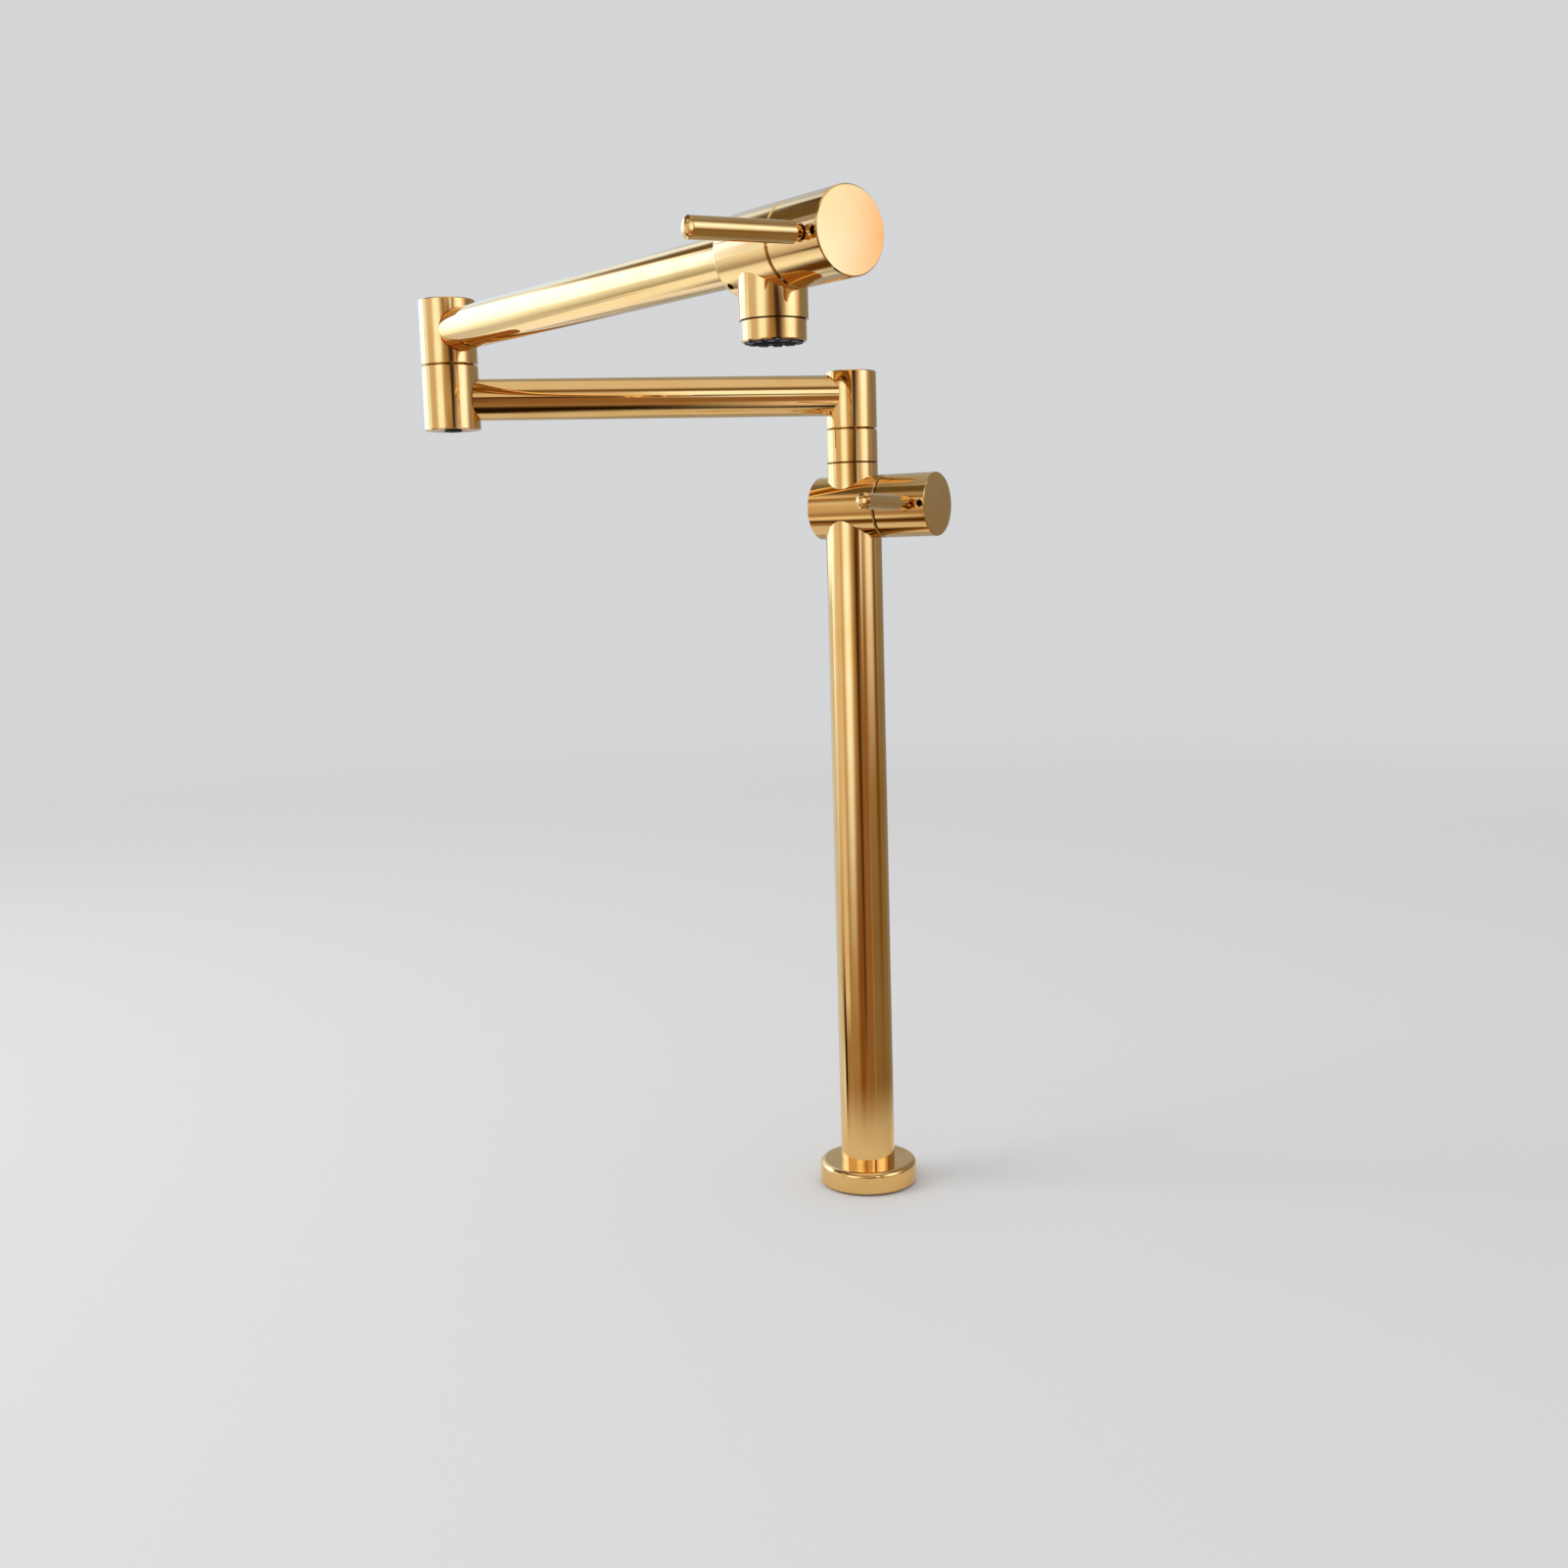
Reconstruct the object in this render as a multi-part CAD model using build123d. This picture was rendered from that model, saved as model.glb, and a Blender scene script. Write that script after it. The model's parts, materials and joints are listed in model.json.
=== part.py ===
from build123d import *
import math
import os

# Double jointed pot filler faucet, deck mounted. Millimetres, +Z up.
# Origin: on the riser's axis, in the plane of the worktop's top face.
# +X runs along the wall towards the lower knob, +Y towards the wall.

# Driving dimensions: heights
valve_axis_height = 390.0       # worktop to the lower valve's axis
stub_height = 24.3              # top of the valve body's stub, above that axis
collar_height = 18.4            # swivel collar between the stub and the hub
hub_foot = 7.5                  # hub below the lower arm tube
hub_crown = 1.8                 # hub above that tube
elbow_foot = 4.9                # far joint below the lower arm tube
elbow_lower_crown = 6.6         # that tube to the far joint's seam
elbow_upper_foot = 6.4          # that seam to the upper arm tube
elbow_crown = 5.4               # far joint above the upper arm tube

# Driving dimensions: reach
lower_arm_reach = 217.0         # riser axis to far joint axis
upper_arm_reach = 278.0         # far joint axis to spout axis
lower_arm_azimuth = 221.9       # degrees from +X, as photographed
upper_arm_azimuth = -20.6

# Driving dimensions: diameters
riser_d = 31.0
riser_wall = 1.5
hub_d = 28.2
elbow_d = 29.6
tube_d = 22.0
tube_wall = 1.5
valve_d = 34.4
spout_d = 28.4
aerator_d = 26.6

# Fits and gaps
fit_gap = 0.05                  # radial gap of every screwed or running fit
seam_gap = 0.6                  # open seam between pieces that turn on each other
lap_gap = 0.02                  # between faces that slide on each other
edge_break = 0.5                # chamfer on turned edges
valve_edge_break = 0.7          # the same on the two valves and their knobs
socket_break = 0.35             # on the rims of the arm tubes' sockets
past = 1.0                      # how far a cut runs past the face that it opens

# Worktop fastening
flange_d = 56.0
flange_height = 12.0
flange_web = 3.0
flange_fillet = 3.0
deck_gasket_d = 50.0
deck_gasket_thickness = 1.5
worktop_thickness = 30.0
shank_d = 26.4
shank_bore_d = 14.0
shank_length = 62.0             # below the worktop's top face
shank_head_height = 20.0
inlet_d = 20.96
inlet_length = 14.0
washer_d = 48.0
under_gasket_thickness = 3.0
washer_thickness = 2.0
washer_hole_gap = 0.4
nut_across_flats = 36.0
nut_height = 10.0
nut_chamfer = 1.2

# Lower valve body, along its axis from the riser's axis
lower_body_left = 20.2
lower_body_right = 21.0         # middle of the seam with the knob
spigot_length = 12.0            # spigot inside the riser, below the body
spigot_bore_d = 24.0
spigot_bore_top = 14.0          # below the valve axis
inlet_port_d = 5.6
inlet_port_land = 0.2           # between the inlet port and the cartridge's seat
outlet_port_d = 7.2
stub_bore_d = 13.0
stub_bore_depth = 3.5
stub_socket_d = 22.0
stub_socket_depth = 6.0

# Upper valve body, along its axis from the spout's axis
upper_body_left = 17.9
upper_body_right = 17.8         # middle of the seam with the knob
shoulder_round = 2.0            # rounded rim where the arm tube goes in
valve_tube_seat = 7.0           # how deep the arm tube sits in the valve body
spout_length = 27.4             # valve axis to the spout's lower face
spout_bore_d = 12.0
aerator_thread_d = 24.0
aerator_thread_length = 6.0
aerator_seal_thickness = 1.5
aerator_height = 8.7            # visible part below the spout
aerator_bore_d = 20.0
insert_rim_d = 24.2             # dark insert, where it fills the housing's mouth
insert_rim_depth = 3.0
insert_proud = 0.6              # its rim stands this far below the housing
insert_wall = 1.5
insert_mouth_d = 18.0
insert_mouth_depth = 2.0
screen_thickness = 1.2
insert_hole_d = 1.8
insert_hole_pitch = 2.6
insert_hole_rings = 3           # the hole in the middle counts as one
insert_first_ring = 6           # holes in the first ring round it, the next has twice as many
insert_notches = 12             # notches in its rim for the fitting key
insert_notch_width = 2.4
insert_notch_depth = 0.9
tube_screw_d = 3.0
tube_screw_sink = 1.4           # screw's top below the body's skin
tube_screw_hex = 1.5
tube_screw_hex_depth = 1.5
screw_break = 0.3               # chamfer on a headless screw's ends
tube_screw_from_shoulder = 4.5
tube_screw_below = 50.0         # degrees below level, on the lever's side

# Ceramic cartridge. Its own axis is +X, measured from the seam, outward positive
seat_depth = 27.0
cartridge_d = 20.8
port_d = 13.0
port_length = 8.0
gallery_d = 25.0                # ring shaped space round the windows
gallery_start = -19.5
gallery_length = 8.0
gallery_bite = 1.0              # how far the outlet reaches into that space
cage_bore_d = 17.2
cage_depth = 11.0               # cage shoulder, inside the seam
seal_thickness = 1.8
seal_stand = 1.0                # how far the seat seal stands out of the housing
seal_hole_d = 12.0
disc_thickness = 3.0
disc_gap = 0.1                  # radial, disc in cage
disc_inner_r = 2.2
disc_outer_r = 6.9
disc_sector = 80.0              # degrees, each of the two openings
window_width = 11.0
window_start = -18.6
window_length = 5.4
hex_across_flats = 20.0
hex_height = 7.0
neck_d = 15.0
neck_end = 10.0
spindle_d = 10.0
spindle_end = 29.0
spindle_square = 7.0
square_start = 13.5
collar_thickness = 1.9
blade_width = 2.4
blade_length = 13.0
blade_depth = 1.4
blade_neck_d = 6.0
stop_key_angle = 30.0
turn_angle = 90.0
stop_play_angle = 1.0
stop_key_room = 1.0             # stop key clear of the spindle
ring_section = 1.8
ring_corner = 0.35              # chamfer on a sealing ring's edges
ring_side_gap = 0.2             # room beside a sealing ring in its groove
ring_places = (-8.2, -4.2)
housing_ring_place = -23.0
housing_ring_section = 1.2
clip_thickness = 1.0
clip_d = 12.6
clip_groove_depth = 1.0
clip_mouth = 6.0

# Knob and lever, from the seam outward
knob_length = 31.2
knob_wall = 2.8
knob_web_start = 12.5
knob_rim_chamfer = 0.5
lever_place = 21.3
lever_d = 8.6
lever_neck_d = 5.4
lever_thread_d = 5.0
lever_thread_depth = 7.5        # tapped hole below the knob's skin
lever_thread_room = 0.5         # left free at the bottom of that hole
lever_recess_d = 6.8            # the neck starts in this recess in the knob
lever_recess_depth = 2.6
lever_recess_break = 0.35
lever_shoulder = 3.2            # clear length of neck above the knob
lever_tip_break = 0.3
lever_crown = 1.4               # height of the domed tip
lower_lever_reach = 67.8        # knob axis to the lever's end
upper_lever_reach = 70.6
lower_lever_droop = -1.0        # degrees below level, as photographed
upper_lever_droop = 3.0
grub_place = 27.8
grub_hole_d = 3.0
grub_sink_d = 4.8
grub_length = 8.0
grub_hex = 1.5
grub_hex_depth = 1.8

# Swivel posts and their joints
post_d = 16.0
post_bore_d = 10.0
post_flange_lip = 1.4
post_flange_room = 0.2          # radial, inside the collar's chamber
post_flange_thickness = 2.9
post_flange_step = 2.7          # flange's underside above the stub
thrust_thickness = 1.0
collar_spigot_length = 5.9
post_thread_length = 11.0
bearing_land = 1.0              # between the post's bore and the bearing ring
bearing_width = 3.5
bearing_thickness = 1.6
hub_chamber_d = 13.0
arm_port_d = 14.0
hub_tube_seat = 5.0
elbow_tube_seat = 3.9
post_ring_gap = 3.6             # first seal ring groove from the seam
post_ring_pitch = 4.4
post_ring_count = 2             # below each swivel's seam
post_ring_section = 1.8
elbow_gallery_room = 2.2        # ring shaped space round the post
elbow_gallery_height = 12.0
elbow_floor = 5.0               # underside of the far joint to the post's foot
post_floor = 1.0                # floor of the post's bore above that space's
cross_hole_d = 6.4
elbow_screw_d = 6.0
elbow_screw_head_d = 9.6
elbow_screw_head = 2.6
elbow_screw_proud = 0.8
elbow_screw_room = 0.4          # left free above the thread
screw_hex = 4.0
screw_hex_depth = 1.6

# Worked out from the values above
H = valve_axis_height
riser_r = riser_d / 2
riser_bore_r = riser_r - riser_wall
tube_r = tube_d / 2
valve_r = valve_d / 2
hub_r = hub_d / 2
elbow_r = elbow_d / 2
post_r = post_d / 2
shank_r = shank_d / 2
spindle_r = spindle_d / 2
cartridge_r = cartridge_d / 2
cage_r = cage_bore_d / 2
gallery_r = gallery_d / 2
lever_r = lever_d / 2
half_seam = seam_gap / 2
post_flange_r = post_r + post_flange_lip
collar_chamber_r = post_flange_r + post_flange_room
bearing_inner_r = post_r + bearing_land
bearing_outer_r = bearing_inner_r + bearing_width

# Heights above the lower valve's axis
collar_top = stub_height + collar_height
lower_tube_height = collar_top + hub_foot + tube_r
hub_top = lower_tube_height + tube_r + hub_crown
elbow_bottom = lower_tube_height - tube_r - elbow_foot
elbow_seam = lower_tube_height + tube_r + elbow_lower_crown
upper_tube_height = elbow_seam + elbow_upper_foot + tube_r
elbow_top = upper_tube_height + tube_r + elbow_crown

os.makedirs("parts", exist_ok=True)
nodes = {}


# Helpers


def turned_z(radius, low, high, bore=0.0):
    """A cylinder or ring about Z between two heights."""
    body = Pos(0, 0, (low + high) / 2) * Cylinder(radius, high - low)
    if bore > 0:
        body -= Pos(0, 0, (low + high) / 2) * Cylinder(bore, high - low + 2 * past)
    return body


def turned_x(radius, start, end, bore=0.0):
    """A cylinder or ring about X between two places."""
    return Rot(0, 90, 0) * turned_z(radius, start, end, bore)


def break_edges(body, axis, size=edge_break):
    """Chamfer the outer rims of the two end faces along an axis."""
    faces = body.faces().sort_by(axis)
    rims = [faces[0].outer_wire().edges(), faces[-1].outer_wire().edges()]
    return chamfer(rims[0] + rims[1], size)


def break_end(body, axis, size=edge_break):
    """Chamfer the outer rim of the furthest end face along an axis."""
    return chamfer(body.faces().sort_by(axis)[-1].outer_wire().edges(), size)


def seal_ring(centre_radius, section):
    """A squeezed sealing ring about Z, its section a square with its corners off."""
    square = Rectangle(section, section)
    profile = chamfer(square.vertices(), ring_corner)
    return revolve(Pos(centre_radius, 0, 0) * Rot(90, 0, 0) * profile, Axis.Z)


def hexagon(across_flats):
    """A hexagon by its width across flats."""
    return RegularPolygon(across_flats / 2, 6, major_radius=False)


def sector(radius, angle, start, end, centre_angle=0.0):
    """A wedge about X: centre_angle is measured from +Y towards +Z."""
    half = math.radians(angle / 2)
    far = radius / math.cos(half)
    points = [(0, 0), (far * math.cos(half), -far * math.sin(half)), (far, 0)]
    points.append((far * math.cos(half), far * math.sin(half)))
    wedge = extrude(make_face(Polyline(*points, close=True)), end - start)
    wedge = Pos(start, 0, 0) * Rot(0, 90, 0) * Rot(0, 0, 90) * wedge
    return Rot(centre_angle, 0, 0) * wedge


def set_screw(diameter, length, hex_size, hex_depth):
    """A headless screw along Z, its socket at the top, top face at zero."""
    body = turned_z(diameter / 2 - fit_gap, -length, 0)
    body = break_edges(body, Axis.Z, screw_break)
    socket = extrude(hexagon(hex_size), -hex_depth)
    return body - socket


# Frames of the two arms and the two valves


def on_axis(azimuth, x=0.0, y=0.0, z=0.0):
    """A frame at a point, its +X turned to an azimuth in the level plane."""
    return Pos(x, y, z) * Rot(0, 0, azimuth)


far_x = lower_arm_reach * math.cos(math.radians(lower_arm_azimuth))
far_y = lower_arm_reach * math.sin(math.radians(lower_arm_azimuth))
riser_frame = Pos(0, 0, H)
lower_arm_frame = on_axis(lower_arm_azimuth, 0, 0, H)
far_frame = Pos(far_x, far_y, H)
far_lower_frame = on_axis(lower_arm_azimuth + 180, far_x, far_y, H)
far_upper_frame = on_axis(upper_arm_azimuth, far_x, far_y, H)
lower_valve_frame = Pos(0, 0, H)
upper_valve_frame = far_upper_frame * Pos(upper_arm_reach, 0, upper_tube_height)


# Worktop fastening and riser


def build_base():
    web_top = deck_gasket_thickness + flange_web
    flange_top = deck_gasket_thickness + flange_height
    flange = turned_z(flange_d / 2, deck_gasket_thickness, flange_top)
    flange = fillet(flange.faces().sort_by(Axis.Z)[-1].edges(), flange_fillet)
    flange -= turned_z(shank_r + fit_gap, 0, web_top)
    flange -= turned_z(riser_r + fit_gap, web_top, flange_top + past)
    nodes["base_flange"] = flange
    nodes["deck_gasket"] = turned_z(deck_gasket_d / 2, 0, deck_gasket_thickness, shank_r + washer_hole_gap)

    head_top = web_top + shank_head_height
    shank = turned_z(shank_r, -shank_length, web_top)
    shank += turned_z(riser_bore_r - fit_gap, web_top, head_top)
    inlet_end = -shank_length - inlet_length
    shank += turned_z(inlet_d / 2, inlet_end, -shank_length)
    shank -= turned_z(shank_bore_d / 2, inlet_end, head_top)
    nodes["mounting_shank"] = shank

    clamp_top = -worktop_thickness
    gasket_low = clamp_top - under_gasket_thickness
    washer_low = gasket_low - washer_thickness
    hole_r = shank_r + washer_hole_gap
    nodes["under_deck_gasket"] = turned_z(washer_d / 2, gasket_low, clamp_top, hole_r)
    nodes["under_deck_washer"] = turned_z(washer_d / 2, washer_low, gasket_low, hole_r)
    nut = extrude(hexagon(nut_across_flats), nut_height)
    nut = Pos(0, 0, washer_low - nut_height) * nut
    nut_corner = nut_across_flats / math.sqrt(3)
    blank = turned_z(nut_corner, washer_low - nut_height, washer_low)
    nut &= break_edges(blank, Axis.Z, nut_chamfer)
    nodes["lock_nut"] = nut - turned_z(shank_r + fit_gap, washer_low - nut_height, washer_low)

    riser = turned_z(riser_r, web_top, H, riser_bore_r)
    riser -= riser_frame * turned_x(valve_r + fit_gap, -riser_d, riser_d)
    nodes["riser_tube"] = riser


# Valve bodies: what both have in common, cut from a solid in the valve's own frame


def cartridge_space(seam_x):
    """The bore, port and ring shaped gallery that take a cartridge."""
    space = turned_x(cartridge_r + fit_gap, seam_x - seat_depth, seam_x)
    space += turned_x(gallery_r, seam_x + gallery_start, seam_x + gallery_start + gallery_length)
    return space


def build_lower_body():
    right = lower_body_right - half_seam
    body = break_edges(turned_x(valve_r, -lower_body_left, right), Axis.X, valve_edge_break)
    body += break_end(turned_z(hub_r, 0, stub_height), Axis.Z)
    body += turned_z(riser_bore_r - fit_gap, -valve_r - spigot_length, 0)
    body -= cartridge_space(lower_body_right)
    seat_x = lower_body_right - seat_depth
    body -= turned_x(port_d / 2, seat_x - port_length, seat_x)
    body -= turned_z(spigot_bore_d / 2, -valve_r - spigot_length, -spigot_bore_top)
    inlet_x = seat_x - inlet_port_land - inlet_port_d / 2
    body -= Pos(inlet_x, 0, 0) * turned_z(inlet_port_d / 2, -spigot_bore_top - past, 0)
    outlet_x = lower_body_right + gallery_start + gallery_length / 2
    socket_floor = stub_height - stub_socket_depth
    outlet = turned_z(outlet_port_d / 2, gallery_r - gallery_bite, socket_floor)
    body -= Pos(outlet_x, 0, 0) * outlet
    body -= turned_z(stub_bore_d / 2, socket_floor - stub_bore_depth, socket_floor + past)
    body -= turned_z(stub_socket_d / 2, socket_floor, stub_height)
    nodes["lower_valve_body"] = lower_valve_frame * body


def build_upper_body():
    right = upper_body_right - half_seam
    body = break_end(turned_x(valve_r, -upper_body_left, right), Axis.X, valve_edge_break)
    shoulder = body.faces().sort_by(Axis.X)[0].outer_wire().edges()
    body = fillet(shoulder, shoulder_round)
    body += turned_z(spout_d / 2, -spout_length, 0)
    body -= cartridge_space(upper_body_right)
    seat_x = upper_body_right - seat_depth
    tube_end = -upper_body_left + valve_tube_seat
    body -= turned_x(port_d / 2, tube_end, seat_x)
    socket_r = tube_r + fit_gap
    body -= turned_x(socket_r, -upper_body_left - past, tube_end)
    body -= Pos(socket_break / 2 - upper_body_left, 0, 0) * Rot(0, 90, 0) * Cone(
        socket_r + socket_break, socket_r, socket_break
    )
    thread_top = -spout_length + aerator_thread_length + aerator_seal_thickness
    body -= turned_z(spout_bore_d / 2, thread_top - past, gallery_bite - gallery_r)
    body -= turned_z(aerator_thread_d / 2, -spout_length, thread_top)
    body -= tube_screw_frame() * turned_z(tube_screw_d / 2, tube_r - valve_r, past)
    nodes["upper_valve_body"] = upper_valve_frame * body
    screw_length = valve_r - tube_r - tube_screw_sink - fit_gap
    screw = set_screw(tube_screw_d, screw_length, tube_screw_hex, tube_screw_hex_depth)
    nodes["tube_lock_screw"] = upper_valve_frame * tube_screw_frame() * Pos(0, 0, -tube_screw_sink) * screw


def tube_screw_frame():
    """Frame on the upper valve body's skin, +Z pointing out of it."""
    place = -upper_body_left + tube_screw_from_shoulder
    return Pos(place, 0, 0) * Rot(90 + tube_screw_below, 0, 0) * Pos(0, 0, valve_r)


# Cartridge, knob and lever, in the valve's own frame with the seam at zero


def build_cartridge(name, frame, turn):
    seat = -seat_depth
    cage_end = -cage_depth
    seal_end = seat + seal_thickness
    fixed_end = seal_end + disc_thickness
    moving_start = fixed_end + lap_gap
    moving_end = moving_start + disc_thickness

    housing = turned_x(cartridge_r, seat + seal_stand, 0)
    housing += Rot(0, 90, 0) * extrude(hexagon(hex_across_flats), hex_height)
    housing += turned_x(neck_d / 2, hex_height, neck_end)
    housing -= turned_x(cage_r, seat, cage_end)
    housing -= turned_x(spindle_r + fit_gap, seat, neck_end)
    window = Pos(window_start + window_length / 2, 0, 0)
    housing -= window * Box(window_length, window_width, cartridge_d + 2 * past)
    housing -= groove_x(cartridge_r, housing_ring_place, housing_ring_section)
    # Stop key that the spindle's collar runs against at each end of the quarter turn
    collar_start = cage_end - collar_thickness
    key_centre = 90.0
    key = turned_x(cage_r, collar_start, cage_end, spindle_r + stop_key_room)
    key &= sector(cage_r + past, stop_key_angle, collar_start, cage_end, key_centre)
    housing += key
    nodes[name + "_cartridge_housing"] = frame * housing
    nodes[name + "_seat_seal"] = frame * turned_x(cage_r - disc_gap, seat, seal_end, seal_hole_d / 2)
    ring_r = cartridge_r - housing_ring_section / 2
    nodes[name + "_housing_ring"] = frame * ring_x(ring_r, housing_ring_place, housing_ring_section)

    openings = disc_openings()
    fixed = turned_x(cage_r - disc_gap, seal_end, fixed_end) - Pos(seal_end, 0, 0) * openings
    nodes[name + "_fixed_disc"] = frame * fixed
    moving = turned_x(cage_r - disc_gap, moving_start, moving_end) - Pos(moving_start, 0, 0) * openings
    slot = Pos(moving_end - blade_depth / 2, 0, 0)
    moving -= slot * Box(blade_depth, blade_length + 2 * fit_gap, blade_width + 2 * fit_gap)
    nodes[name + "_moving_disc"] = frame * moving

    collar_r = cage_r - 2 * fit_gap
    collar_end = cage_end - lap_gap
    spindle = turned_x(spindle_r, collar_start, square_start)
    spindle += turned_x(collar_r, collar_start + lap_gap, collar_end)
    free_angle = stop_key_angle + turn_angle + 2 * stop_play_angle
    free_centre = key_centre - turn * turn_angle / 2
    free_space = sector(cage_r + past, free_angle, collar_start, collar_end, free_centre)
    spindle -= free_space - turned_x(spindle_r, collar_start - past, collar_end + past)
    spindle += turned_x(blade_neck_d / 2, moving_end + lap_gap, collar_start)
    blade_start = moving_end - blade_depth + fit_gap
    blade_size = moving_end + blade_depth - blade_start
    blade_place = Pos(blade_start + blade_size / 2, 0, 0)
    spindle += blade_place * Box(blade_size, blade_length - 2 * fit_gap, blade_width)
    square_length = spindle_end - square_start
    square = Pos(square_start + square_length / 2, 0, 0)
    spindle += square * Box(square_length, spindle_square, spindle_square)
    for place in ring_places:
        spindle -= groove_x(spindle_r, place, ring_section)
    clip_start = neck_end + lap_gap
    clip_end = clip_start + clip_thickness
    groove_r = spindle_r - clip_groove_depth
    spindle -= turned_x(spindle_r + past, clip_start - lap_gap, clip_end + lap_gap, groove_r)
    nodes[name + "_spindle"] = frame * spindle

    ring_r = spindle_r - ring_section / 2
    rings = [frame * ring_x(ring_r, place, ring_section) for place in ring_places]
    nodes[name + "_spindle_rings"] = rings
    clip = turned_x(clip_d / 2, clip_start, clip_end, groove_r + fit_gap)
    mouth = Pos((clip_start + clip_end) / 2, 0, -clip_d / 2)
    nodes[name + "_spindle_clip"] = frame * (clip - mouth * Box(clip_thickness + past, clip_mouth, clip_d))


def groove_x(radius, place, section):
    """A sealing ring's groove in a cylinder about X."""
    half = section / 2 + ring_side_gap
    return turned_x(radius + past, place - half, place + half, radius - section)


def ring_x(centre_radius, place, section):
    """A sealing ring about X at a place along it."""
    return Pos(place, 0, 0) * Rot(0, 90, 0) * seal_ring(centre_radius, section)


def disc_openings():
    """Two opposed openings of a ceramic disc, as a solid from zero along X."""
    band = turned_x(disc_outer_r, 0, disc_thickness, disc_inner_r)
    first = sector(disc_outer_r + past, disc_sector, 0, disc_thickness, 90)
    second = sector(disc_outer_r + past, disc_sector, 0, disc_thickness, 270)
    return (band & first) + (band & second)


def build_knob(name, frame, lever_reach):
    """Knob, pin lever and grub screw: the lever points along -Y at rest."""
    start = half_seam
    knob = turned_x(valve_r, start, knob_length)
    faces = knob.faces().sort_by(Axis.X)
    knob = chamfer(faces[-1].edges(), knob_rim_chamfer)
    knob = chamfer(knob.faces().sort_by(Axis.X)[0].edges(), valve_edge_break)
    knob -= turned_x(valve_r - knob_wall, start, knob_web_start)
    socket_length = spindle_end + fit_gap - knob_web_start
    socket_size = spindle_square + 2 * fit_gap
    knob -= Pos(knob_web_start + socket_length / 2, 0, 0) * Box(socket_length, socket_size, socket_size)
    knob -= turned_x(spindle_r + fit_gap, knob_web_start, square_start)
    outward = Rot(90, 0, 0)
    lever_axis = Pos(lever_place, 0, 0) * outward
    grub_axis = Pos(grub_place, 0, 0) * outward
    recess_floor = valve_r - lever_recess_depth
    knob -= lever_axis * turned_z(lever_thread_d / 2, valve_r - lever_thread_depth, valve_r)
    knob -= lever_axis * turned_z(lever_recess_d / 2, recess_floor, valve_r + past)
    knob -= lever_axis * countersink(lever_recess_d / 2, lever_recess_d / 2 + lever_recess_break)
    knob -= grub_axis * turned_z(grub_hole_d / 2, 0, valve_r + past)
    knob -= grub_axis * countersink(grub_hole_d / 2, grub_sink_d / 2)
    nodes[name + "_knob"] = frame * knob

    screw_top = spindle_square / 2 + lap_gap + grub_length
    screw = set_screw(grub_hole_d, grub_length, grub_hex, grub_hex_depth)
    nodes[name + "_grub_screw"] = frame * grub_axis * Pos(0, 0, screw_top) * screw

    shoulder = valve_r + lever_shoulder
    rim = lever_reach - lever_crown
    lever = chamfer(turned_z(lever_r, shoulder, rim).faces().sort_by(Axis.Z)[-1].edges(), lever_tip_break)
    lever = chamfer(lever.faces().sort_by(Axis.Z)[0].edges(), edge_break)
    lever += domed_tip(lever_r - lever_tip_break, rim, lever_crown)
    lever += turned_z(lever_neck_d / 2, recess_floor, shoulder)
    thread_end = valve_r - lever_thread_depth + lever_thread_room
    lever += turned_z(lever_thread_d / 2 - fit_gap, thread_end, recess_floor)
    nodes[name + "_lever"] = frame * lever_axis * lever


def countersink(inner_r, outer_r):
    """A cone at right angles that opens a hole at the knob's skin, about Z."""
    depth = outer_r - inner_r
    cone = Pos(0, 0, valve_r - depth / 2) * Cone(inner_r, outer_r, depth)
    return cone + turned_z(outer_r, valve_r, valve_r + past)


def domed_tip(radius, foot, height):
    """A cap of a sphere on a round foot, about Z."""
    sphere_r = (radius ** 2 + height ** 2) / (2 * height)
    ball = Pos(0, 0, foot + height - sphere_r) * Sphere(sphere_r)
    return ball & turned_z(radius, foot, foot + height)


# Swivel of the lower arm on the riser


def build_riser_swivel():
    collar = turned_z(hub_r, stub_height, collar_top - half_seam)
    collar = break_edges(collar, Axis.Z)
    spigot_low = stub_height - collar_spigot_length
    collar += turned_z(stub_socket_d / 2 - fit_gap, spigot_low, stub_height)
    flange_start = stub_height + post_flange_step
    flange_end = flange_start + post_flange_thickness
    lip = flange_end + lap_gap + thrust_thickness
    collar -= turned_z(collar_chamber_r, spigot_low, lip)
    collar -= turned_z(post_r + fit_gap, lip, collar_top)
    bearing_low = collar_top + half_seam - fit_gap - bearing_thickness
    collar -= turned_z(bearing_outer_r, bearing_low, collar_top, bearing_inner_r)
    nodes["swivel_collar"] = riser_frame * collar
    nodes["collar_bearing"] = riser_frame * bearing_ring(bearing_low)
    thrust = turned_z(collar_chamber_r - fit_gap, lip - thrust_thickness, lip, post_r + fit_gap)
    nodes["collar_thrust_washer"] = riser_frame * thrust

    post_top = collar_top + half_seam + post_thread_length
    post = turned_z(post_r, flange_start, post_top)
    post += turned_z(post_flange_r, flange_start, flange_end)
    post -= turned_z(post_bore_d / 2, flange_start, post_top)
    places = [collar_top - post_ring_gap - post_ring_pitch * i for i in range(post_ring_count)]
    for place in places:
        post -= groove_z(post_r, place, post_ring_section)
    nodes["riser_swivel_post"] = riser_frame * post
    nodes["riser_post_rings"] = [riser_frame * post_ring(place) for place in places]

    low = collar_top + half_seam
    hub = break_edges(turned_z(hub_r, low, hub_top), Axis.Z)
    hub -= turned_z(post_r + fit_gap, low, post_top + fit_gap)
    hub -= turned_z(hub_chamber_d / 2, post_top, lower_tube_height + arm_port_d / 2)
    hub = cut_tube_socket(hub, hub_r, hub_tube_seat, lower_tube_height)
    nodes["riser_hub"] = lower_arm_frame * hub


def bearing_ring(low):
    """The flat ring that bridges a swivel's seam."""
    return turned_z(bearing_outer_r, low, low + bearing_thickness, bearing_inner_r)


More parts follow.
